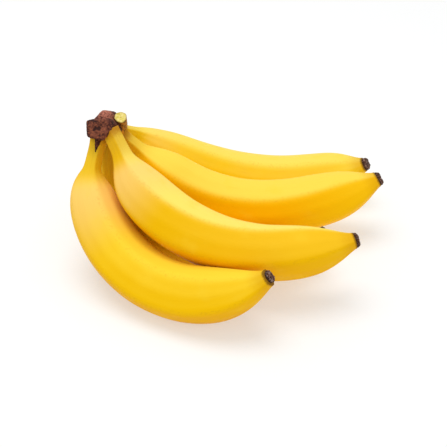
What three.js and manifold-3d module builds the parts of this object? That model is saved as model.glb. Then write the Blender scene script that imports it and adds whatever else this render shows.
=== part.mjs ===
// A bunch of five ripe bananas on one piece of crown, lying on a flat surface.
// Millimetres, +Z up. The fingers reach out along +X, and the crown is at the back left.
// The origin is at the middle of the underside of the box around the bunch.

import * as THREE from 'three';
import { ConvexGeometry } from 'three/addons/geometries/ConvexGeometry.js';
import { mergeVertices } from 'three/addons/utils/BufferGeometryUtils.js';
import Module from 'manifold-3d';

const wasm = await Module();
wasm.setup();

// Shape that the five fingers share, in shares of a finger's own radius or length.
const endShare = 0.29;
const ridgeRise = 0.042;
const ridgeCrease = 0.012;

// Clear gaps and the depth to which a belly is pressed flat where it lies.
const fingerGap = 0.45;
const socketGap = 0.35;
const tipGap = 0.3;
const bellyPress = 0.6;

// Fineness of the solids.
const ringCount = 36;
const sideCount = 20;
const lineSteps = 240;

// Each finger leaves the crown at start. It points along leave, turns to shoulder over its neck and
// then bends up to end. A direction is a turn from +X towards +Y and a tilt above the horizontal,
// in degrees. bend says how early the bend comes (1 is even). stem is its neck's thickness as a
// share of its radius, and flare is how much wider or narrower it starts. swell is how soon and how
// steeply it widens after the neck, ease how gently that begins, and taper how late it narrows,
// all as shares of its length.
// ridge is where its first ridge starts, and twist is how far the ridges turn along it. tip and
// tipRadius are the height and radius of its dried end. pad is the radius of the crown behind it.
const fingers = {
  front: {
    start: [-86.5, 54, 90], leave: [-109, -46], shoulder: [-90, -59], end: [-4, 41],
    length: 209, radius: 19.7, neck: 29, bend: 0.95, stem: 0.27, flare: 0.3,
    swell: [0.07, 1], ease: 0.015, taper: 0.12, ridge: 320, twist: 18, tip: 2.8, tipRadius: 4.1, pad: 7.4,
  },
  under: {
    start: [-86, 78.5, 75.3], leave: [-80, -51], shoulder: [-52, -40], end: [7, 21],
    length: 206, radius: 17.9, neck: 42, bend: 0.7, stem: 0.43, flare: -0.25,
    swell: [0.08, 1.3], ease: 0.02, taper: 0.12, ridge: 322, twist: 10, tip: 2.8, tipRadius: 4.9, pad: 8.4,
  },
  second: {
    start: [-78, 46, 99], leave: [-44, -53], shoulder: [-72, -41], end: [11, 15],
    length: 204, radius: 18.9, neck: 23.5, bend: 0.75, stem: 0.31, flare: 0,
    swell: [0.08, 1.3], ease: 0.03, taper: 0.1, ridge: 38, twist: -55, tip: 2.8, tipRadius: 5, pad: 4.2,
  },
  third: {
    start: [-73.5, 64, 84], leave: [-8, -40], shoulder: [-27, -61], end: [12, 26],
    length: 207, radius: 19.7, neck: 19, bend: 0.7, stem: 0.25, flare: 0.2,
    swell: [0.065, 1.3], ease: 0.025, taper: 0.095, ridge: 58, twist: -36, tip: 3, tipRadius: 5.1, pad: 6.6,
  },
  back: {
    start: [-76.7, 81, 78.2], leave: [53, -31], shoulder: [14, -42], end: [-10, 31],
    length: 210.5, radius: 18.7, neck: 20.5, bend: 1.35, stem: 0.24, flare: 0.2,
    swell: [0.11, 1.3], ease: 0.03, taper: 0.08, ridge: 53, twist: 0, tip: 3.6, tipRadius: 4.6, pad: 7.4,
  },
};

// Crown: a woody pad that holds the five necks, with its old cut face to the front.
const padBack = 3.5;
const faceCorners = [
  [-92, 47, 103], [-78, 46, 104], [-78, 42, 101], [-83, 40, 96], [-91, 42, 97],
];
const faceCorner = 2.2;
const faceRoot = { at: [-84, 54, 95], radius: 7 };
const topBump = { at: [-82, 57, 102], radius: 5 };
const sideBump = { at: [-86, 53, 100.5], radius: 4 };
const backBump = { at: [-78, 62.5, 99], radius: 4.2 };
const stubRoot = { at: [-74.5, 62.5, 92.5], radius: 5.4 };
const flap = { reach: 8.5, radius: 2.2, lift: 0.4, turn: 336 };
const barkDepth = 0.45;

// The stub of a sixth finger, cut off fresh.
const stub = {
  top: [-71.8, 58.5, 101.4], lean: [0.08, -0.5, 0.86],
  length: 11, radius: 4.3, rootRadius: 4.9,
};

const up = new THREE.Vector3(0, 0, 1);

function clamp(x, low, high) {
  return Math.min(Math.max(x, low), high);
}

function smooth(x) {
  const t = clamp(x, 0, 1);
  return t * t * (3 - 2 * t);
}

function heading([turn, tilt]) {
  const a = THREE.MathUtils.degToRad(turn);
  const b = THREE.MathUtils.degToRad(tilt);
  return new THREE.Vector3(Math.cos(b) * Math.cos(a), Math.cos(b) * Math.sin(a), Math.sin(b));
}

// Turns from one direction towards another by a share of the angle between them.
function turnTowards(from, to, share) {
  const square = to.clone().addScaledVector(from, -from.dot(to)).normalize();
  const angle = share * from.angleTo(to);
  return from.clone().multiplyScalar(Math.cos(angle)).addScaledVector(square, Math.sin(angle));
}

// The centre line of a finger with a frame that runs along it without spinning.
class FingerLine {
  constructor(size) {
    this.size = size;
    this.points = [];
    this.tangents = [];
    this.sides = [];
    const step = size.length / lineSteps;
    const leave = heading(size.leave);
    const shoulder = heading(size.shoulder);
    const end = heading(size.end);
    for (let i = 0; i <= lineSteps; i++) {
      const s = i * step;
      const overNeck = smooth((s - 0.25 * size.neck) / (1.6 * size.neck));
      const alongBody = clamp((s - 0.9 * size.neck) / (size.length - 0.9 * size.neck), 0, 1);
      const bent = 1.03 * alongBody ** size.bend - 0.03 * smooth((alongBody - 0.66) / 0.28);
      const tangent = turnTowards(turnTowards(leave, shoulder, overNeck), end, bent);
      this.tangents.push(tangent);
      if (i === 0) {
        this.points.push(new THREE.Vector3(...size.start));
        this.sides.push(up.clone().addScaledVector(tangent, -tangent.z).normalize());
      } else {
        const middle = this.tangents[i - 1].clone().add(tangent).multiplyScalar(step / 2);
        this.points.push(this.points[i - 1].clone().add(middle));
        const side = this.sides[i - 1];
        this.sides.push(side.clone().addScaledVector(tangent, -side.dot(tangent)).normalize());
      }
    }
  }

  at(s) {
    const place = clamp(s / this.size.length, 0, 1) * lineSteps;
    const i = Math.min(Math.floor(place), lineSteps - 1);
    const share = place - i;
    const mix = (list) => list[i].clone().lerp(list[i + 1], share);
    const tangent = mix(this.tangents).normalize();
    const side = mix(this.sides).normalize();
    const across = tangent.clone().cross(side);
    return { point: mix(this.points), tangent, side, across };
  }

  radius(s, angle) {
    const { length, neck, radius, stem, flare, swell, ease, taper, ridge, twist } = this.size;
    const pastNeck = (s - 0.85 * neck) / length - 0.27 * ease;
    const afterNeck = (pastNeck + Math.hypot(pastNeck, ease)) / 2;
    const beforeEnd = Math.max(length - s, 0) / length;
    const wider = 1 + flare * clamp(1 - s / (0.45 * neck), 0, 1) ** 2;
    const rise = 1 - (1 - stem * wider) * Math.exp(-((afterNeck / swell[0]) ** swell[1]));
    const fall = 1 - (1 - endShare) * Math.exp(-((beforeEnd / taper) ** 1.4));
    const turned = 5 * (angle - THREE.MathUtils.degToRad(ridge + twist * (s / length)));
    const ridges = ridgeRise * Math.cos(turned) + ridgeCrease * Math.cos(2 * turned);
    return radius * rise * fall * (1 + ridges * (1.5 - 0.5 * smooth(afterNeck / 0.12)));
  }

  // How far a point is outside this finger, and the way straight out to it.
  clearance(point) {
    let nearest = 0;
    let best = Infinity;
    this.points.forEach((p, i) => {
      const d = p.distanceToSquared(point);
      if (d < best) {
        best = d;
        nearest = i;
      }
    });
    const s = (nearest / lineSteps) * this.size.length;
    const { point: centre, side, across } = this.at(s);
    const out = point.clone().sub(centre);
    const angle = Math.atan2(out.dot(across), out.dot(side));
    const gap = out.length() - this.radius(s, angle);
    return { gap, out: out.normalize() };
  }
}

// Spreads the rings closer together near both ends of a finger.
function ringShare(t) {
  return t - 0.4 * Math.sin(2 * Math.PI * t) / (2 * Math.PI);
}

// A closed tube along a finger's line. Where it would press into a neighbour it gives way.
function fingerGeometry(line, neighbours) {
  const shape = new THREE.CylinderGeometry(1, 1, 1, sideCount, ringCount);
  const place = shape.attributes.position;
  for (let i = 0; i < place.count; i++) {
    const s = line.size.length * ringShare(place.getY(i) + 0.5);
    const share = Math.hypot(place.getX(i), place.getZ(i));
    const angle = Math.atan2(-place.getZ(i), place.getX(i));
    const { point: centre, side, across } = line.at(s);
    const out = side.clone().multiplyScalar(Math.cos(angle)).addScaledVector(across, Math.sin(angle));
    let reach = share * line.radius(s, angle);
    for (const neighbour of neighbours) {
      for (let pass = 0; pass < 4; pass++) {
        const here = centre.clone().addScaledVector(out, reach);
        const { gap, out: away } = neighbour.clearance(here);
        if (gap >= fingerGap) break;
        reach -= (fingerGap - gap) / Math.max(0.35, -away.dot(out));
      }
    }
    const here = centre.clone().addScaledVector(out, Math.max(reach, 0));
    place.setXYZ(i, here.x, here.y, here.z);
  }
  return shape;
}

// A little more than the first part of a finger, to cut its socket in the crown.
function socketGeometry(line) {
  const depth = 60;
  const shape = new THREE.CylinderGeometry(1, 1, 1, 24, 24);
  const place = shape.attributes.position;
  for (let i = 0; i < place.count; i++) {
    const s = (depth + socketGap) * (place.getY(i) + 0.5) - socketGap;
    const share = Math.hypot(place.getX(i), place.getZ(i));
    const angle = Math.atan2(-place.getZ(i), place.getX(i));
    const { point: centre, tangent, side, across } = line.at(s);
    const out = side.clone().multiplyScalar(Math.cos(angle)).addScaledVector(across, Math.sin(angle));
    const reach = share * (line.radius(Math.max(s, 0), angle) * 1.02 + socketGap);
    const here = centre.clone().addScaledVector(out, reach).addScaledVector(tangent, Math.min(s, 0));
    place.setXYZ(i, here.x, here.y, here.z);
  }
  return shape;
}

function bark(p) {
  const coarse = Math.sin(0.9 * p.x + 1.3 * p.z) * Math.sin(1.1 * p.y - 0.7 * p.z + 2);
  const fine = Math.sin(2.3 * p.x - 1.7 * p.y) * Math.sin(2.1 * p.z + 1.2 * p.x + 1);
  return barkDepth * (0.6 * coarse + 0.4 * fine);
}

// A rough ball of dry crown.
function lumpGeometry({ at, radius }) {
  const shape = new THREE.IcosahedronGeometry(radius, 3);
  const centre = new THREE.Vector3(...at);
  const place = shape.attributes.position;
  for (let i = 0; i < place.count; i++) {
    const out = new THREE.Vector3().fromBufferAttribute(place, i);
    const here = out.clone().add(centre);
    here.addScaledVector(out.normalize(), bark(here));
    place.setXYZ(i, here.x, here.y, here.z);
  }
  return shape;
}

// A rough skin drawn tight around balls.
function drawnAround(balls) {
  const points = [];
  for (const { at, radius } of balls) {
    const ball = new THREE.SphereGeometry(radius, 12, 8);
    for (let i = 0; i < ball.attributes.position.count; i++) {
      const out = new THREE.Vector3().fromBufferAttribute(ball.attributes.position, i);
      const here = out.clone().add(new THREE.Vector3(...at));
      points.push(here.addScaledVector(out.normalize(), bark(here)));
    }
  }
  return new ConvexGeometry(points);
}

function padGeometry(lines) {
  const balls = lines.map((line) => {
    const { point, tangent } = line.at(0);
    return { at: point.addScaledVector(tangent, -padBack).toArray(), radius: line.size.pad };
  });
  return drawnAround(balls);
}

function faceGeometry() {
  const corners = faceCorners.map((at) => ({ at, radius: faceCorner }));
  return drawnAround([...corners, faceRoot]);
}

// The dry point of the crown that runs down over the front finger's neck.
function flapGeometry(line) {
  const shape = new THREE.SphereGeometry(1, 14, 8);
  const { point, tangent, across, side } = line.at(flap.reach / 2);
  const turn = THREE.MathUtils.degToRad(flap.turn);
  const out = side.clone().multiplyScalar(Math.cos(turn)).addScaledVector(across, Math.sin(turn));
  const centre = point.addScaledVector(out, line.radius(flap.reach / 2, turn) + flap.lift);
  const flat = tangent.clone().cross(out);
  const basis = new THREE.Matrix4().makeBasis(flat, tangent, out).setPosition(centre);
  shape.scale(flap.radius * 1.4, flap.reach, flap.radius);
  shape.applyMatrix4(basis);
  return shape;
}

function tipGeometry(radius, length) {
  const profile = [
    [0, 0], [0.96, 0], [1, 0.12], [0.97, 0.4], [0.86, 0.7], [0.66, 0.92], [0.46, 1], [0.26, 0.9], [0, 0.84],
  ];
  const outline = profile.map(([r, h]) => new THREE.Vector2(r * radius, h * length));
  const shape = new THREE.LatheGeometry(outline, 10);
  const place = shape.attributes.position;
  for (let i = 0; i < place.count; i++) {
    const angle = Math.atan2(place.getZ(i), place.getX(i));
    const lobes = 1 + 0.06 * Math.cos(5 * angle);
    place.setX(i, place.getX(i) * lobes);
    place.setZ(i, place.getZ(i) * lobes);
  }
  return shape;
}

// Turns a closed shape into a solid for cutting, and a solid back into a shape.
function toSolid(shape) {
  const bare = shape.clone();
  bare.deleteAttribute('normal');
  bare.deleteAttribute('uv');
  const joined = mergeVertices(bare, 1e-4);
  const vertProperties = new Float32Array(joined.attributes.position.array);
  const triVerts = new Uint32Array(joined.index.array);
  return new wasm.Manifold(new wasm.Mesh({ numProp: 3, vertProperties, triVerts }));
}

function toShape(solid) {
  const { vertProperties, triVerts } = solid.getMesh();
  const shape = new THREE.BufferGeometry();
  shape.setAttribute('position', new THREE.BufferAttribute(new Float32Array(vertProperties), 3));
  shape.setIndex(new THREE.BufferAttribute(new Uint32Array(triVerts), 1));
  shape.computeVertexNormals();
  return shape;
}

function skin(color, roughness) {
  return new THREE.MeshStandardMaterial({ color, roughness, metalness: 0 });
}

const bunch = new THREE.Group();

function addPiece(name, shape, material) {
  const mesh = new THREE.Mesh(shape, material);
  mesh.name = name;
  bunch.add(mesh);
  return mesh;
}

const lines = {};
for (const [name, size] of Object.entries(fingers)) lines[name] = new FingerLine(size);

// A finger gives way to the neighbours listed for it.
const givesWayTo = {
  front: [],
  under: ['front'],
  second: ['front', 'under'],
  third: ['under', 'second'],
  back: ['third', 'under'],
};
const fingerShapes = {};
for (const name of Object.keys(fingers)) {
  const neighbours = givesWayTo[name].map((other) => lines[other]);
  fingerShapes[name] = fingerGeometry(lines[name], neighbours);
  fingerShapes[name].computeBoundingBox();
}

// The bunch lies on the bellies of three fingers, each pressed flat where it touches.
const lying = ['front', 'under', 'back'];
const lowest = lying.map((name) => fingerShapes[name].boundingBox.min.z);
const restHeight = Math.max(...lowest) + bellyPress;
const below = new THREE.BoxGeometry(400, 400, 40);
below.translate(0, 0, restHeight - 20);
const belowSolid = toSolid(below);

const peel = {
  front: 0xf8c91c,
  under: 0xe9b414,
  second: 0xfbd23a,
  third: 0xf7bf12,
  back: 0xf6ca2a,
};
for (const name of Object.keys(fingers)) {
  const whole = toSolid(fingerShapes[name]);
  const shape = lying.includes(name) ? toShape(whole.subtract(belowSolid)) : fingerShapes[name];
  addPiece(`finger_${name}`, shape, skin(peel[name], 0.5));
}

// Dried blossom ends, one on each finger.
for (const [name, size] of Object.entries(fingers)) {
  const { point, tangent } = lines[name].at(size.length);
  const shape = tipGeometry(size.tipRadius, size.tip);
  const tip = addPiece(`blossom_tip_${name}`, shape, skin(0x2e211a, 0.85));
  tip.position.copy(point).addScaledVector(tangent, tipGap);
  tip.quaternion.setFromUnitVectors(new THREE.Vector3(0, 1, 0), tangent);
}

// The cut stub stands in its own socket in the crown.
const stubLean = new THREE.Vector3(...stub.lean).normalize();
function stubGeometry(extra) {
  const height = stub.length + extra;
  const shape = new THREE.CylinderGeometry(stub.radius + extra, stub.rootRadius + extra, height, 20, 3);
  shape.translate(0, -height / 2, 0);
  shape.applyQuaternion(new THREE.Quaternion().setFromUnitVectors(new THREE.Vector3(0, 1, 0), stubLean));
  shape.translate(...stub.top);
  return shape;
}

let stubSolid = toSolid(stubGeometry(0));
let crownSolid = toSolid(padGeometry(Object.values(lines)));
crownSolid = crownSolid.add(toSolid(faceGeometry()));
crownSolid = crownSolid.add(toSolid(drawnAround([topBump, sideBump, backBump])));
crownSolid = crownSolid.add(toSolid(lumpGeometry(stubRoot)));
crownSolid = crownSolid.add(toSolid(flapGeometry(lines.front)));
for (const line of Object.values(lines)) {
  const socket = toSolid(socketGeometry(line));
  crownSolid = crownSolid.subtract(socket);
  stubSolid = stubSolid.subtract(socket);
}
const stubSocket = stubGeometry(socketGap);
stubSocket.translate(...stubLean.clone().multiplyScalar(socketGap * 0.5).toArray());
crownSolid = crownSolid.subtract(toSolid(stubSocket));
const crownParts = crownSolid.decompose().sort((a, b) => b.volume() - a.volume());
const stubParts = stubSolid.decompose().sort((a, b) => b.volume() - a.volume());
addPiece('crown', toShape(crownParts[0]), skin(0x5b3524, 0.9));
addPiece('cut_stub', toShape(stubParts[0]), skin(0xe8d463, 0.6));

// Puts the origin at the middle of the underside of the whole bunch.
bunch.updateMatrixWorld(true);
const box = new THREE.Box3().setFromObject(bunch, true);
const middle = box.getCenter(new THREE.Vector3());
bunch.position.set(-middle.x, -middle.y, -box.min.z);

const group = new THREE.Group();
group.add(bunch);

export default group;
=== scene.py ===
import math
import bmesh
import bpy
import numpy as np
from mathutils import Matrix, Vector, noise


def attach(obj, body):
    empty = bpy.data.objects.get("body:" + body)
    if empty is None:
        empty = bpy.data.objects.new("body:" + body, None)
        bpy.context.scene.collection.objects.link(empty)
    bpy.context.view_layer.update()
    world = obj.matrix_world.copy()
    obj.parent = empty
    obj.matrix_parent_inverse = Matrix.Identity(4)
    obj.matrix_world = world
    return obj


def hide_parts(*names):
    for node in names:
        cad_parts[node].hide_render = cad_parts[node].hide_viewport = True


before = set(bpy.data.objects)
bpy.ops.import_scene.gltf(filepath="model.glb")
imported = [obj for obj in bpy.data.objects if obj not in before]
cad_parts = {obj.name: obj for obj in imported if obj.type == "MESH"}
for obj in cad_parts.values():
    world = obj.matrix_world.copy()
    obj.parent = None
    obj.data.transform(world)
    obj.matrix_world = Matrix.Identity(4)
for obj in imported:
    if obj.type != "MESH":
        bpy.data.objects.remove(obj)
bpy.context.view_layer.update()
scene = bpy.context.scene
scene.view_settings.view_transform = "Standard"
print("stage: frame loaded")

# Lengths below are in millimetres, as the part was drawn. This point of the drawing is the frame's origin.
drawingOrigin = np.array([4.47, 32.44, 1.255])


def toFrame(points):
    return (np.asarray(points, float) - drawingOrigin) / 1000


def unit(vectors):
    return vectors / np.linalg.norm(vectors, axis=-1, keepdims=True)


def smooth(x):
    t = np.clip(x, 0, 1)
    return t * t * (3 - 2 * t)


def around(angle, side, across):  # the way out from a line, at an angle round it
    return np.cos(angle)[..., None] * side + np.sin(angle)[..., None] * across


def ringGrid(along, sides):  # each place along a tube with each angle round it, as two flat lists
    angles = np.arange(sides) * 2 * np.pi / sides
    return [grid.ravel() for grid in np.meshgrid(along, angles, indexing="ij")]


def tubeFaces(rings, sides):  # the two points that come after the rings close the tube's ends
    count = rings * sides
    faces = []
    for i in range(rings - 1):
        for j in range(sides):
            k = (j + 1) % sides
            faces.append((i * sides + j, i * sides + k, (i + 1) * sides + k, (i + 1) * sides + j))
    for j in range(sides):
        k = (j + 1) % sides
        faces.append((count, k, j))
        faces.append((count + 1, count - sides + j, count - sides + k))
    return faces


def rgb(red, green, blue):  # screen colour, 0 to 255, as the shader wants it
    shares = [c / 255 for c in (red, green, blue)]
    return (*[((c + 0.055) / 1.055) ** 2.4 if c > 0.04 else c / 12.92 for c in shares], 1)


# Shader writing: a socket that takes part in sums, and a material that hands out nodes.
class Sock:
    def __init__(self, paint, socket):
        self.paint, self.socket = paint, socket

    def math(self, operation, first, second, clamp=False):
        settings = {"operation": operation, "use_clamp": clamp}
        return self.paint.node("ShaderNodeMath", settings, {0: first, 1: second})

    def __add__(self, other):
        return self.math("ADD", self, other)

    def __radd__(self, other):
        return self.math("ADD", other, self)

    def __sub__(self, other):
        return self.math("SUBTRACT", self, other)

    def __rsub__(self, other):
        return self.math("SUBTRACT", other, self)

    def __mul__(self, other):
        return self.math("MULTIPLY", self, other)

    def __rmul__(self, other):
        return self.math("MULTIPLY", other, self)

    def clip(self):
        return self.math("ADD", self, 0.0, clamp=True)


class Paint:
    def __init__(self, name, fixed):
        self.material = bpy.data.materials.new(name)
        self.material.use_nodes = True
        self.tree = self.material.node_tree
        self.shader = self.tree.nodes["Principled BSDF"]
        for socket, value in fixed.items():
            self.shader.inputs[socket].default_value = value

    def put(self, target, value):
        if isinstance(value, Sock):
            self.tree.links.new(value.socket, target)
        else:
            target.default_value = value

    def node(self, kind, settings, sockets, out=0):  # settings come first, then values or links
        made = self.tree.nodes.new(kind)
        for key, value in settings.items():
            setattr(made, key, value)
        for key, value in sockets.items():
            self.put(made.inputs[key], value)
        return Sock(self, made.outputs[out])

    def attribute(self, name, out="Fac"):
        return self.node("ShaderNodeAttribute", {"attribute_name": name}, {}, out)

    def noise(self, place, scale, detail, roughness=0.5):
        return self.node("ShaderNodeTexNoise", {},
                         {"Vector": place, "Scale": scale, "Detail": detail, "Roughness": roughness})

    def cells(self, place, scale):
        return self.node("ShaderNodeTexVoronoi", {}, {"Vector": place, "Scale": scale})

    def ramp(self, value, low, high):  # 0 below low, 1 above high
        return self.node("ShaderNodeMapRange", {"interpolation_type": "SMOOTHSTEP"},
                         {"Value": value, "From Min": low, "From Max": high})

    def mix(self, share, first, second):
        return self.node("ShaderNodeMix", {"data_type": "RGBA"}, {0: share, 6: first, 7: second}, 2)

    def tint(self, color, share, amount, over):  # lays a colour over another, at most by the amount
        return self.mix((share * amount).clip(), color, over)

    def bump(self, height, strength, distance):
        return self.node("ShaderNodeBump", {}, {"Height": height, "Strength": strength, "Distance": distance})

    def feed(self, **sockets):
        for name, value in sockets.items():
            self.put(self.shader.inputs[name.replace("_", " ")], value)
        return self.material


def addMesh(name, points, faces, material, node, values):
    mesh = bpy.data.meshes.new(name)
    mesh.from_pydata([tuple(p) for p in toFrame(points)], [], faces)
    mesh.update()
    mesh.shade_smooth()
    for key, data in values.items():
        data = np.asarray(data, float)
        kind, field = ("FLOAT_VECTOR", "vector") if data.ndim == 2 else ("FLOAT", "value")
        mesh.attributes.new(key, kind, "POINT").data.foreach_set(field, data.ravel())
    mesh.materials.append(material)
    piece = bpy.data.objects.new(name, mesh)
    scene.collection.objects.link(piece)
    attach(piece, "root")
    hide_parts(node)


# The fingers. A direction is a turn from +X towards +Y and a tilt above level, in degrees. stem is the
# neck's thickness as a share of radius, and swell, ease and taper are shares of length.
sharedShape = {
    "endShare": 0.29,
    "ridgeRise": 0.042, "ridgeCrease": 0.012, "longWave": 0.2, "shortWave": 0.07, "skinDrop": 0.12,
    "gap": 0.3, "restHeight": drawingOrigin[2], "shadeReach": 7, "skinRadius": 19,
    "rings": 300, "sides": 100, "lineSteps": 240,
}
fingers = {
    "front": dict(
        start=(-86.5, 54, 90), leave=(-109, -46), shoulder=(-90, -59), end=(-4, 41),
        length=209, radius=19.7, neck=29, bend=0.95, stem=0.27, flare=0.3, swell=(0.07, 1), ease=0.015,
        taper=0.12, ridge=320, twist=18, tip=2.8, tipRadius=4.1, pad=7.4),
    "under": dict(
        start=(-86, 78.5, 75.3), leave=(-80, -51), shoulder=(-52, -40), end=(7, 21),
        length=206, radius=17.9, neck=42, bend=0.7, stem=0.43, flare=-0.25, swell=(0.08, 1.3), ease=0.02,
        taper=0.12, ridge=322, twist=10, tip=2.8, tipRadius=4.9, pad=8.4),
    "second": dict(
        start=(-78, 46, 99), leave=(-44, -53), shoulder=(-72, -41), end=(11, 15),
        length=204, radius=18.9, neck=23.5, bend=0.75, stem=0.31, flare=0, swell=(0.08, 1.3), ease=0.03,
        taper=0.1, ridge=38, twist=-55, tip=2.8, tipRadius=5, pad=4.2),
    "third": dict(
        start=(-73.5, 64, 84), leave=(-8, -40), shoulder=(-27, -61), end=(12, 26),
        length=207, radius=19.7, neck=19, bend=0.7, stem=0.25, flare=0.2, swell=(0.065, 1.3), ease=0.025,
        taper=0.095, ridge=58, twist=-36, tip=3, tipRadius=5.1, pad=6.6),
    "back": dict(
        start=(-76.7, 81, 78.2), leave=(53, -31), shoulder=(14, -42), end=(-10, 31),
        length=210.5, radius=18.7, neck=20.5, bend=1.35, stem=0.24, flare=0.2, swell=(0.11, 1.3), ease=0.03,
        taper=0.08, ridge=53, twist=0, tip=3.6, tipRadius=4.6, pad=7.4),
}
givesWayTo = {"front": (), "under": ("front",), "second": ("front", "under"), "third": ("under", "second"),
              "back": ("third", "under")}


def heading(turn, tilt):
    a, b = math.radians(turn), math.radians(tilt)
    return np.array([math.cos(b) * math.cos(a), math.cos(b) * math.sin(a), math.sin(b)])


def turnTowards(here, there, share):
    square = unit(there - here * np.sum(here * there, axis=-1, keepdims=True))
    angle = (share * np.arccos(np.clip(np.sum(here * there, axis=-1), -1, 1)))[..., None]
    return np.cos(angle) * here + np.sin(angle) * square


class FingerLine:
    def __init__(self, size):
        self.size = size
        length, neck = size["length"], size["neck"]
        self.s = np.linspace(0, length, sharedShape["lineSteps"] + 1)
        overNeck = smooth((self.s - 0.25 * neck) / (1.6 * neck))
        alongBody = np.clip((self.s - 0.9 * neck) / (length - 0.9 * neck), 0, 1)
        bent = 1.03 * alongBody ** size["bend"] - 0.03 * smooth((alongBody - 0.66) / 0.28)
        shoulder = turnTowards(heading(*size["leave"])[None], heading(*size["shoulder"])[None], overNeck)
        self.tangents = turnTowards(shoulder, heading(*size["end"])[None], bent)
        steps = (self.tangents[1:] + self.tangents[:-1]) / 2 * (self.s[1] - self.s[0])
        self.points = np.vstack([size["start"], size["start"] + np.cumsum(steps, axis=0)])
        sides = [unit(np.array([0, 0, 1.0]) - self.tangents[0] * self.tangents[0][2])]
        for tangent in self.tangents[1:]:
            sides.append(unit(sides[-1] - tangent * (sides[-1] @ tangent)))
        self.sides = np.array(sides)

    def at(self, s):
        def along(values):
            return np.stack([np.interp(s, self.s, values[:, k]) for k in range(3)], axis=-1)
        tangent, side = unit(along(self.tangents)), unit(along(self.sides))
        return along(self.points), tangent, side, np.cross(tangent, side)

    def crest(self, s, angle):  # 1 on a ridge, -1 between two
        size = self.size
        return np.cos(5 * (angle - np.radians(size["ridge"] + size["twist"] * s / size["length"])))

    def radius(self, s, angle):
        size, shape = self.size, sharedShape
        length, neck = size["length"], size["neck"]
        pastNeck = (s - 0.85 * neck) / length - 0.27 * size["ease"]
        afterNeck = (pastNeck + np.hypot(pastNeck, size["ease"])) / 2
        beforeEnd = np.maximum(length - s, 0) / length
        wider = 1 + size["flare"] * np.clip(1 - s / (0.45 * neck), 0, 1) ** 2
        rise = 1 - (1 - size["stem"] * wider) * np.exp(-((afterNeck / size["swell"][0]) ** size["swell"][1]))
        fall = 1 - (1 - shape["endShare"]) * np.exp(-((beforeEnd / size["taper"]) ** 1.4))
        crest = self.crest(s, angle)
        ridges = shape["ridgeRise"] * crest + shape["ridgeCrease"] * (2 * crest ** 2 - 1)
        return size["radius"] * rise * fall * (1 + ridges * (1.5 - 0.5 * smooth(afterNeck / 0.12)))

    def clearance(self, points):  # how far points are outside this finger, and the way straight out
        nearest = np.concatenate([
            np.argmin(np.sum((part[:, None] - self.points[None]) ** 2, axis=-1), axis=1)
            for part in np.array_split(points, max(1, len(points) // 4000))])
        s = self.s[nearest]
        centre, _, side, across = self.at(s)
        out = points - centre
        angle = np.arctan2(np.sum(out * across, axis=-1), np.sum(out * side, axis=-1))
        distance = np.linalg.norm(out, axis=-1)
        return distance - self.radius(s, angle), out / distance[:, None]


lines = {name: FingerLine(size) for name, size in fingers.items()}


def fingerMesh(name):
    line, shape = lines[name], sharedShape
    rings, sides, length = shape["rings"], shape["sides"], line.size["length"]
    t = np.linspace(0, 1, rings)
    s, angle = ringGrid(length * (t - 0.45 * np.sin(2 * np.pi * t) / (2 * np.pi)), sides)
    centre, _, side, across = line.at(s)
    out = around(angle, side, across)
    base = line.radius(s, angle)
    phase = line.size["ridge"] + line.size["start"][1]  # each finger has its own small unevenness
    uneven = (np.sin(s / 23 + 2 * angle + phase) * np.sin(s / 37 - angle + 0.7 * phase) * shape["longWave"]
              + np.sin(s / 9.0 + 3 * angle + 2 * phase) * np.sin(s / 14 + phase) * shape["shortWave"])
    reach = base + uneven * base / line.size["radius"] - shape["skinDrop"]
    for other in givesWayTo[name]:
        for _ in range(4):
            gap, away = lines[other].clearance(centre + out * reach[:, None])
            push = np.maximum(shape["gap"] - gap, 0) / np.maximum(-np.sum(away * out, axis=-1), 0.35)
            reach = np.maximum(reach - push, 0.5)
    points = centre + out * reach[:, None]
    points[:, 2] = np.maximum(points[:, 2], shape["restHeight"])
    ends = np.array([line.points[0], line.points[-1] + line.tangents[-1] * 0.2])
    ridgeLine = np.radians(line.size["ridge"] + line.size["twist"] * s / length)
    past = (ridgeLine - angle + np.pi) % (2 * np.pi) - np.pi  # how far round from the first ridge
    # The facet next to the first ridge, which gets painted light.
    litFacet = smooth(past / 0.3 + 0.5) * (1 - smooth((past - 1.9) / 0.6))
    # Closeness to the other fingers, used for painted shade between them.
    near = np.min([lines[other].clearance(points)[0] for other in lines if other != name], axis=0)
    skin = np.stack([s, shape["skinRadius"] * np.cos(angle), shape["skinRadius"] * np.sin(angle)], axis=-1)
    values = {
        "fromCrown": np.append(s, [0, length]),
        "fromTip": np.append(length - s, [length, 0]),
        "ridgeCrest": np.append(line.crest(s, angle), [0, 0]),
        "neighbourShade": np.append(np.exp(-np.maximum(near, 0) / shape["shadeReach"]), [0, 0]),
        "skinPlace": np.vstack([skin, [[0, 0, 0], [length, 0, 0]]]),
        "litFacet": np.append(litFacet, [0, 0]),
        "neckPlace": np.append(s / line.size["neck"], [0, length / line.size["neck"]]),
    }
    return np.vstack([points, ends]), tubeFaces(rings, sides), values


# Per finger: the peel's own yellow, a paler yellow that is painted light on upward-facing facets, a deeper
# yellow that is painted shade on downward-facing parts and next to other fingers, and the share of a painted
# peach sheen on the upward-facing shoulder.
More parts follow.
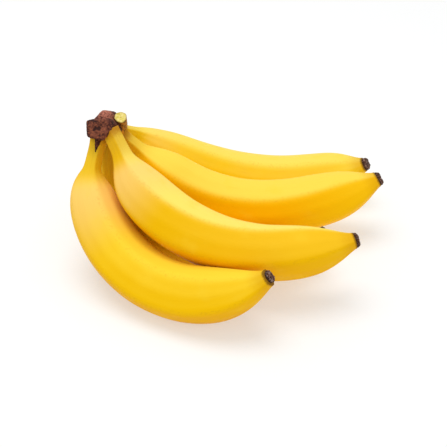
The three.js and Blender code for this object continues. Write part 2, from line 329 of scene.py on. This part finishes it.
peelLook = {
    "front": dict(
        ripe=rgb(252, 198, 0), paintedLight=rgb(255, 218, 58), paintedShade=rgb(226, 158, 0),
        peachSheen=0.75, facet=0.3, base=0.4, seed=1.0),
    "second": dict(
        ripe=rgb(248, 192, 0), paintedLight=rgb(255, 229, 106), paintedShade=rgb(234, 170, 0),
        peachSheen=0.75, facet=0.9, base=0.1, seed=2.0),
    "third": dict(
        ripe=rgb(255, 196, 0), paintedLight=rgb(255, 220, 80), paintedShade=rgb(255, 190, 0),
        peachSheen=0.0, facet=0.9, base=0.1, seed=3.0),
    "back": dict(
        ripe=rgb(255, 215, 0), paintedLight=rgb(252, 224, 92), paintedShade=rgb(255, 206, 0),
        peachSheen=0.3, facet=0.2, base=0.1, seed=4.0),
    "under": dict(
        ripe=rgb(250, 206, 0), paintedLight=rgb(250, 208, 30), paintedShade=rgb(246, 182, 0),
        peachSheen=0.0, facet=0.5, base=0.0, seed=5.0),
}
# The peach colour here is a painted sheen for the upward-facing shoulder; the other colours are the peel's
# own marks.
peelMarks = {
    "peachSheen": rgb(255, 210, 118), "cloud": rgb(255, 212, 50), "fibre": rgb(214, 140, 8),
    "crest": rgb(196, 132, 30), "neck": rgb(214, 170, 44), "base": rgb(222, 172, 0),
    "crown": rgb(176, 112, 20), "tip": rgb(220, 158, 10), "edge": rgb(112, 70, 22),
    "freckle": rgb(170, 110, 24), "specular": 0.05, "bump": 0.2, "bumpDepth": 0.0003,
}


def peelMaterial(name):
    look, marks = peelLook[name], peelMarks
    paint = Paint("peel_" + name, {"Specular IOR Level": marks["specular"]})
    place = paint.attribute("skinPlace", "Vector")
    shift = (look["seed"] * 40, 0, 0)
    shifted = paint.node("ShaderNodeVectorMath", {"operation": "ADD"}, {0: place, 1: shift})
    long = paint.node("ShaderNodeVectorMath", {"operation": "MULTIPLY"}, {0: shifted, 1: (0.06, 1, 1)})
    crest, near = paint.attribute("ridgeCrest"), paint.attribute("neighbourShade")
    fromCrown, fromTip = paint.attribute("fromCrown"), paint.attribute("fromTip")
    neckPlace, litFacet = paint.attribute("neckPlace"), paint.attribute("litFacet")
    normal = paint.node("ShaderNodeNewGeometry", {}, {}, "Normal")
    upward = paint.node("ShaderNodeSeparateXYZ", {}, {0: normal}, 2)
    cloud, speck = paint.noise(shifted, 0.05, 3.0), paint.noise(shifted, 0.55, 2.0)
    fibre = paint.noise(long, 0.9, 4.0, 0.6)

    # Painted light: upward-facing parts, mostly on the lit facet, are mixed towards the paler yellow.
    litTopShare = paint.ramp(upward + (cloud - 0.5) * 0.2, 0.3, 0.9) * (1 - look["facet"] * (1 - litFacet))
    # Painted shade: downward-facing parts and parts close to another finger are mixed towards the deeper
    # yellow.
    shadedShare = paint.ramp(0 - upward, -0.3, 0.8) * 0.7 + near * 0.3
    # Painted sheen: a peach tint on the upward-facing part of the shoulder.
    shoulderSheenShare = (paint.ramp(neckPlace, 0.85, 1.45) * (1 - paint.ramp(neckPlace, 1.5, 3.2))
                     * paint.ramp(upward + (cloud - 0.5) * 0.5, -0.2, 0.6))
    neckShare = (1 - paint.ramp(neckPlace, 0.3, 1.4)) * (0.5 + 0.5 * paint.ramp(fibre, 0.35, 0.65))
    baseShare = paint.ramp(neckPlace, 0.6, 0.95) * (1 - paint.ramp(neckPlace, 0.95, 1.3))
    edgeShare = 1 - paint.ramp(fromTip + fibre * 2.4, 1.2, 3.0)
    freckle = paint.cells(shifted, 0.11) + speck * 0.08
    freckleShare = (1 - paint.ramp(freckle, 0.055, 0.085)) * paint.ramp(cloud, 0.5, 0.62)

    # The first three mixes lay painted light, painted shade and a painted sheen over the peel's own yellow.
    color = paint.mix(litTopShare.clip(), look["ripe"], look["paintedLight"])
    color = paint.mix(shadedShare.clip(), color, look["paintedShade"])
    color = paint.tint(color, shoulderSheenShare, look["peachSheen"], marks["peachSheen"])
    color = paint.tint(color, paint.ramp(cloud, 0.52, 0.75), 0.3, marks["cloud"])
    color = paint.tint(color, paint.ramp(fibre, 0.55, 0.8), 0.12, marks["fibre"])
    crestShare = paint.ramp(crest, 0.75, 1.0) * paint.ramp(speck, 0.5, 0.7)
    color = paint.tint(color, crestShare, 0.16, marks["crest"])
    color = paint.tint(color, neckShare, 0.6, marks["neck"])
    color = paint.tint(color, baseShare, look["base"], marks["base"])
    color = paint.tint(color, 1 - paint.ramp(fromCrown + speck * 5, 4.0, 11.0), 0.8, marks["crown"])
    color = paint.tint(color, 1 - paint.ramp(fromTip + speck * 5.0, 3.0, 16.0), 0.5, marks["tip"])
    color = paint.tint(color, edgeShare, 0.85, marks["edge"])
    color = paint.tint(color, freckleShare, 0.4, marks["freckle"])
    height = fibre * 0.5 + paint.noise(shifted, 2.4, 3.0) * 0.5 + speck * 0.5
    return paint.feed(Base_Color=color, Roughness=(0.44 + 0.14 * speck + 0.2 * edgeShare).clip(),
                      Normal=paint.bump(height, marks["bump"], marks["bumpDepth"]))


for fingerName in fingers:
    points, faces, values = fingerMesh(fingerName)
    addMesh("finger_" + fingerName + "_peel", points, faces, peelMaterial(fingerName),
            "finger_" + fingerName, values)
    print("stage: finger", fingerName)


# Dried blossom ends: short domed caps, wrinkled and ragged.
tipSize = {
    "rings": 44, "sides": 72, "lobes": 0.05, "wrinkle": 0.5, "ragged": 0.35,
    "profilePlace": (0, 0.06, 0.14, 0.3, 0.48, 0.62, 0.74, 0.86, 1),
    "profileRadius": (0.9, 0.98, 1.0, 0.97, 0.88, 0.72, 0.5, 0.28, 0.02),
    "profileHeight": (-0.1, 0.0, 0.14, 0.4, 0.7, 0.92, 1.0, 0.9, 0.84),
    "dark": rgb(44, 22, 14), "brown": rgb(104, 68, 50), "ash": rgb(168, 144, 134), "rim": rgb(48, 26, 8),
    "specular": 0.2, "bump": 0.9, "bumpDepth": 0.0007,
}


def tipMaterial():
    paint = Paint("blossom_tip", {"Specular IOR Level": tipSize["specular"]})
    place = paint.attribute("tipPlace", "Vector")
    rough, fine = paint.noise(place, 0.45, 4.0, 0.7), paint.noise(place, 1.1, 3.0)
    color = paint.mix(paint.ramp(rough, 0.38, 0.6), tipSize["dark"], tipSize["brown"])
    color = paint.tint(color, paint.ramp(fine, 0.52, 0.64), 0.8, tipSize["ash"])
    color = paint.tint(color, paint.attribute("tipRim"), 0.7, tipSize["rim"])
    return paint.feed(Base_Color=color, Roughness=(0.75 + 0.2 * fine).clip(),
                      Normal=paint.bump(rough + fine * 0.5, tipSize["bump"], tipSize["bumpDepth"]))


def tipMesh(name):
    size, line, finger = tipSize, lines[name], fingers[name]
    rings, sides, seed = size["rings"], size["sides"], finger["ridge"]
    t, angle = ringGrid(np.linspace(0, 1, rings), sides)
    radius = np.interp(t, size["profilePlace"], size["profileRadius"]) * finger["tipRadius"]
    height = np.interp(t, size["profilePlace"], size["profileHeight"]) * finger["tip"]
    wrinkle = (np.sin(9 * angle + seed + 2 * t) + np.sin(14 * angle + 5 * t + 2 * seed) * 0.7
               + np.sin(23 * angle - 6 * t) * 0.4) / 2.1
    ragged = np.sin(3 * angle + seed) * 0.6 + np.sin(7 * angle + 2 * seed) * 0.4
    fade = smooth(t * 6) * smooth((1 - t) * 4)
    radius = radius * (1 + size["lobes"] * np.cos(5 * angle + seed) * smooth(t * 4))
    radius = np.clip(radius + wrinkle * size["wrinkle"] * fade, 0.02, finger["tipRadius"] * 1.07)
    height = height + ragged * size["ragged"] * fade
    origin, tangent, side, across = [v[0] for v in line.at(np.array([float(finger["length"])]))]
    points = origin + tangent * height[:, None] + around(angle, side, across) * radius[:, None]
    ends = [origin + tangent * size["profileHeight"][k] * finger["tip"] for k in (0, -1)]
    values = {"tipRim": np.append(1 - smooth((t - 0.12) / 0.3), [1, 0])}
    values["tipPlace"] = np.vstack([points, ends])
    return values["tipPlace"], tubeFaces(rings, sides), values


tipPaint = tipMaterial()
for fingerName in fingers:
    points, faces, values = tipMesh(fingerName)
    addMesh("blossom_end_" + fingerName, points, faces, tipPaint,
            "blossom_tip_" + fingerName, values)
print("stage: blossom tips")


# The crown: a pad behind the five necks, lumps on it and an old cut face, fused and roughened.
crownSize = {
    "padBack": 3.5, "faceCorner": 2.2, "faceRoot": (-84, 54, 95), "faceRootRadius": 7,
    "faceCorners": ((-92, 47, 103), (-78, 46, 104), (-78, 42, 101), (-83, 40, 96), (-91, 42, 97)),
    "bumps": (((-82, 57, 102), 5), ((-86, 53, 100.5), 4), ((-78, 62.5, 99), 4.2)),
    "stubAt": (-74.5, 62.5, 92.5), "stubRadius": 5.4, "voxel": 0.45, "bark": 0.5,
    "flapReach": 12.7, "flapRadius": 2.6, "flapTurn": 336, "flapSteps": 9,
    "dark": rgb(70, 30, 20), "brown": rgb(128, 70, 50), "tan": rgb(172, 100, 62), "pit": rgb(38, 14, 14),
    # The pink colour on the next line is a painted highlight for the top of the bump.
    "rim": rgb(44, 14, 20), "pinkHighlight": rgb(214, 134, 112), "golden": rgb(214, 142, 16),
    "specular": 0.25, "bump": 0.9, "bumpDepth": 0.0007,
}


def ballPoints(centre, radius, count=300):
    i = np.arange(count) + 0.5
    tilt, turn = np.arccos(1 - 2 * i / count), np.pi * (1 + 5 ** 0.5) * i
    way = np.stack([np.cos(turn) * np.sin(tilt), np.sin(turn) * np.sin(tilt), np.cos(tilt)], axis=-1)
    return np.asarray(centre) + way * radius


def hullInto(target, points):
    shape = bmesh.new()
    for p in points:
        shape.verts.new(p)
    bmesh.ops.convex_hull(shape, input=shape.verts)
    loose = [v for v in shape.verts if not v.link_faces]
    bmesh.ops.delete(shape, geom=loose, context="VERTS")
    start = len(target[0])
    shape.verts.index_update()
    target[0].extend([tuple(v.co) for v in shape.verts])
    target[1].extend([[start + v.index for v in f.verts] for f in shape.faces])
    shape.free()


def fuse(parts, voxel):  # one closed skin around all the parts
    mesh = bpy.data.meshes.new("fusing")
    mesh.from_pydata(parts[0], [], parts[1])
    block = bpy.data.objects.new("fusing", mesh)
    scene.collection.objects.link(block)
    remesh = block.modifiers.new("remesh", "REMESH")
    remesh.mode, remesh.voxel_size, remesh.adaptivity = "VOXEL", voxel, 0
    soften = block.modifiers.new("soften", "SMOOTH")
    soften.factor, soften.iterations = 0.5, 4
    done = block.evaluated_get(bpy.context.evaluated_depsgraph_get()).to_mesh()
    points = np.array([v.co[:] for v in done.vertices])
    faces = [tuple(f.vertices) for f in done.polygons]
    normals = np.array([v.normal[:] for v in done.vertices])
    block.to_mesh_clear()
    bpy.data.objects.remove(block)
    bpy.data.meshes.remove(mesh)
    return points, faces, normals


def barkHeight(points):
    heights = []
    for p in points:
        place = Vector(p)
        lumps = noise.fractal(place * 0.22, 1.0, 2.0, 4)
        pits = noise.voronoi(place * 0.55)[0][0]
        heights.append(0.9 * lumps + 1.1 * (min(pits, 0.5) - 0.3))
    return np.array(heights)


def crownMaterial():
    paint = Paint("crown_bark", {"Specular IOR Level": crownSize["specular"]})
    place = paint.attribute("barkPlace", "Vector")
    pit, paintedLight, rim = paint.attribute("barkHeight"), paint.attribute("bumpHighlight"), paint.attribute("rimShade")
    blotch, grain = paint.noise(place, 0.28, 4.0, 0.6), paint.noise(place, 0.8, 4.0, 0.65)
    color = paint.mix(paint.ramp(blotch, 0.38, 0.62), crownSize["dark"], crownSize["brown"])
    color = paint.tint(color, paint.ramp(grain, 0.5, 0.64), 0.6, crownSize["tan"])
    color = paint.tint(color, paint.ramp(0 - pit, 0.0, 0.4), 0.85, crownSize["pit"])
    color = paint.tint(color, rim * paint.ramp(grain, 0.72, 0.4), 0.85, crownSize["rim"])
    # Painted highlight: a pink spot on the top of the bump.
    color = paint.tint(color, paintedLight * paint.ramp(grain, 0.35, 0.55), 0.85, crownSize["pinkHighlight"])
    color = paint.tint(color, paint.attribute("golden"), 0.7 + 0.5 * grain, crownSize["golden"])
    return paint.feed(Base_Color=color, Roughness=(0.72 + 0.25 * grain).clip(),
                      Normal=paint.bump(grain + blotch * 0.5, crownSize["bump"], crownSize["bumpDepth"]))


def crownPiece():
    size = crownSize
    parts = ([], [])
    hullInto(parts, np.vstack([
        ballPoints(line.points[0] - line.tangents[0] * size["padBack"], line.size["pad"])
        for line in lines.values()]))
    corners = [ballPoints(corner, size["faceCorner"], 100) for corner in size["faceCorners"]]
    hullInto(parts, np.vstack(corners + [ballPoints(size["faceRoot"], size["faceRootRadius"])]))
    hullInto(parts, np.vstack([ballPoints(at, radius) for at, radius in size["bumps"]]))
    hullInto(parts, ballPoints(size["stubAt"], size["stubRadius"]))
    line = lines["front"]
    turn = math.radians(size["flapTurn"])
    for share in np.linspace(0, 1, size["flapSteps"]):
        s = np.array([size["flapReach"] * share])
        point, _, side, across = [v[0] for v in line.at(s)]
        radius = size["flapRadius"] * (1.3 - 1.05 * share)
        lift = line.radius(s, turn)[0] + 0.3 - 0.6 * radius
        hullInto(parts, ballPoints(point + around(np.array(turn), side, across) * lift, radius, 120))
    points, faces, normals = fuse(parts, size["voxel"])
    height = barkHeight(points)
    points = points + normals * (size["bark"] * height)[:, None]
    # A painted highlight: a soft spot a little above and in front of the first bump's centre.
    paintedLight = np.exp(-np.sum((points - np.array(size["bumps"][0][0]) - (0, -1, 2)) ** 2, axis=-1) / 30)
    neckGap = np.minimum(lines["third"].clearance(points)[0], lines["back"].clearance(points)[0])
    golden = (1 - smooth((neckGap - 2.0) / 4)) * smooth((points[:, 0] + 82) / 3)
    middle = np.mean(size["faceCorners"], axis=0)
    rim = smooth((np.linalg.norm(points - middle, axis=1) - 6.5) / 2.5) * (1 - paintedLight)
    return points, faces, {"barkPlace": points, "barkHeight": height, "bumpHighlight": paintedLight, "rimShade": rim,
                           "golden": golden}


points, faces, values = crownPiece()
addMesh("crown_pad", points, faces, crownMaterial(), "crown", values)
print("stage: crown", len(points))


# The stub of the finger that was cut off: a short stem with a fresh, faintly dished face.
stubSize = {
    "top": (-71.8, 58.5, 101.4), "lean": (0.08, -0.5, 0.86), "length": 11, "radius": 4.3, "root": 4.9,
    "dish": 0.55, "rings": 40, "sides": 96,
    "pith": rgb(226, 208, 84), "palePith": rgb(250, 232, 150), "strand": rgb(190, 160, 60),
    "edge": rgb(150, 112, 36), "darkRind": rgb(104, 62, 30), "rind": rgb(186, 124, 44),
    "specular": 0.45, "bump": 0.5, "bumpDepth": 0.0003,
}


def stubMaterial():
    paint = Paint("cut_stem", {"Specular IOR Level": stubSize["specular"]})
    place = paint.attribute("stemPlace", "Vector")
    face, edge = paint.attribute("cutFace"), paint.attribute("faceEdge")
    pith, strand = paint.noise(place, 0.5, 3.0), paint.noise(place, 2.2, 3.0)
    cut = paint.mix(paint.ramp(pith, 0.35, 0.7), stubSize["pith"], stubSize["palePith"])
    cut = paint.tint(cut, paint.ramp(strand, 0.56, 0.7), 0.4, stubSize["strand"])
    cut = paint.tint(cut, edge, 0.75, stubSize["edge"])
    rind = paint.mix(paint.ramp(pith, 0.35, 0.65), stubSize["darkRind"], stubSize["rind"])
    color = paint.mix(face, rind, cut)
    return paint.feed(Base_Color=color, Roughness=(0.5 + 0.2 * strand).clip(),
                      Normal=paint.bump(strand, stubSize["bump"], stubSize["bumpDepth"]))


def stubMesh():
    size = stubSize
    top, lean = np.array(size["top"]), unit(np.array(size["lean"]))
    side = unit(np.cross(lean, (0, 0, 1.0)))
    across = np.cross(lean, side)
    t, angle = ringGrid(np.linspace(0, 1, size["rings"]), size["sides"])
    radius = np.interp(t, [0, 0.6, 0.66, 1], [size["root"], size["radius"], size["radius"] * 0.95, 0.05])
    depth = np.interp(t, [0, 0.6, 0.66, 0.8, 1], [size["length"], 0.35, 0, 0.35, size["dish"]])
    radius = radius * (1 + 0.04 * np.cos(3 * angle + 1) + 0.02 * np.cos(7 * angle))
    depth = depth + 0.12 * np.sin(5 * angle + 9 * t) * (t > 0.6)
    points = top - lean * depth[:, None] + around(angle, side, across) * radius[:, None]
    points = np.vstack([points, top - lean * size["length"], top - lean * size["dish"]])
    values = {"stemPlace": points, "cutFace": np.append(smooth((t - 0.6) / 0.05), [0, 1]),
              "faceEdge": np.append(np.exp(-np.abs(t - 0.66) / 0.03), [0, 0])}
    return points, tubeFaces(size["rings"], size["sides"]), values


points, faces, values = stubMesh()
addMesh("stub_stem", points, faces, stubMaterial(), "cut_stub", values)
print("stage: cut stub")


# Studio: a pale floor that glows a little, a white room and two soft lamps. Lengths here are in metres.
studio = {
    "floor": (0.57, 0.58, 0.59, 1), "glow": (1, 0.99, 0.965, 1), "glowStrength": 0.42, "halfWidth": 6.0,
    "roomColor": (1, 1, 1, 1), "room": 0.64, "aim": (0, 0, 0.03),
    "keyPlace": (-0.2, 0.1, 1.4), "keyWidth": 1.0, "keyPower": 9.2,
    "fillPlace": (0.5, -1.0, 0.9), "fillWidth": 0.8, "fillPower": 1.3,
}


def addFloor():
    mesh = bpy.data.meshes.new("studio_floor")
    half = studio["halfWidth"]
    corners = [(-half, -half, 0), (half, -half, 0), (half, half, 0), (-half, half, 0)]
    mesh.from_pydata(corners, [], [(0, 1, 2, 3)])
    paint = Paint("studio_white", {
        "Roughness": 0.9, "Specular IOR Level": 0.1, "Base Color": studio["floor"],
        "Emission Color": studio["glow"], "Emission Strength": studio["glowStrength"]})
    mesh.materials.append(paint.material)
    floor = bpy.data.objects.new("studio_floor", mesh)
    scene.collection.objects.link(floor)


def addLamp(name, place, width, power):
    data = bpy.data.lights.new(name, "AREA")
    data.shape, data.size, data.energy = "DISK", width, power
    lamp = bpy.data.objects.new(name, data)
    lamp.location = place
    lamp.rotation_euler = (Vector(studio["aim"]) - Vector(place)).to_track_quat("-Z", "Y").to_euler()
    scene.collection.objects.link(lamp)


addFloor()
world = bpy.data.worlds.new("studio_room")
scene.world = world
world.use_nodes = True
background = world.node_tree.nodes["Background"].inputs
background["Color"].default_value, background["Strength"].default_value = studio["roomColor"], studio["room"]
addLamp("key_lamp", studio["keyPlace"], studio["keyWidth"], studio["keyPower"])
addLamp("fill_lamp", studio["fillPlace"], studio["fillWidth"], studio["fillPower"])
print("stage: studio")

# Camera: 35 degrees down, level, looking along +Y.
cameraSize = {"aim": (-1, 0, 53), "distance": 650, "down": 35, "lens": 78.5, "sensor": 36}
cameraData = bpy.data.cameras.new("camera")
cameraData.lens = cameraSize["lens"]
cameraData.sensor_width = cameraSize["sensor"]
camera = bpy.data.objects.new("camera", cameraData)
down = math.radians(cameraSize["down"])
back = np.array([0, -math.cos(down), math.sin(down)]) * cameraSize["distance"]
camera.location = toFrame(np.array(cameraSize["aim"]) + back)
camera.rotation_euler = (math.pi / 2 - down, 0, 0)
cameraData.clip_start, cameraData.clip_end = 0.01, 50
scene.collection.objects.link(camera)
scene.camera = camera
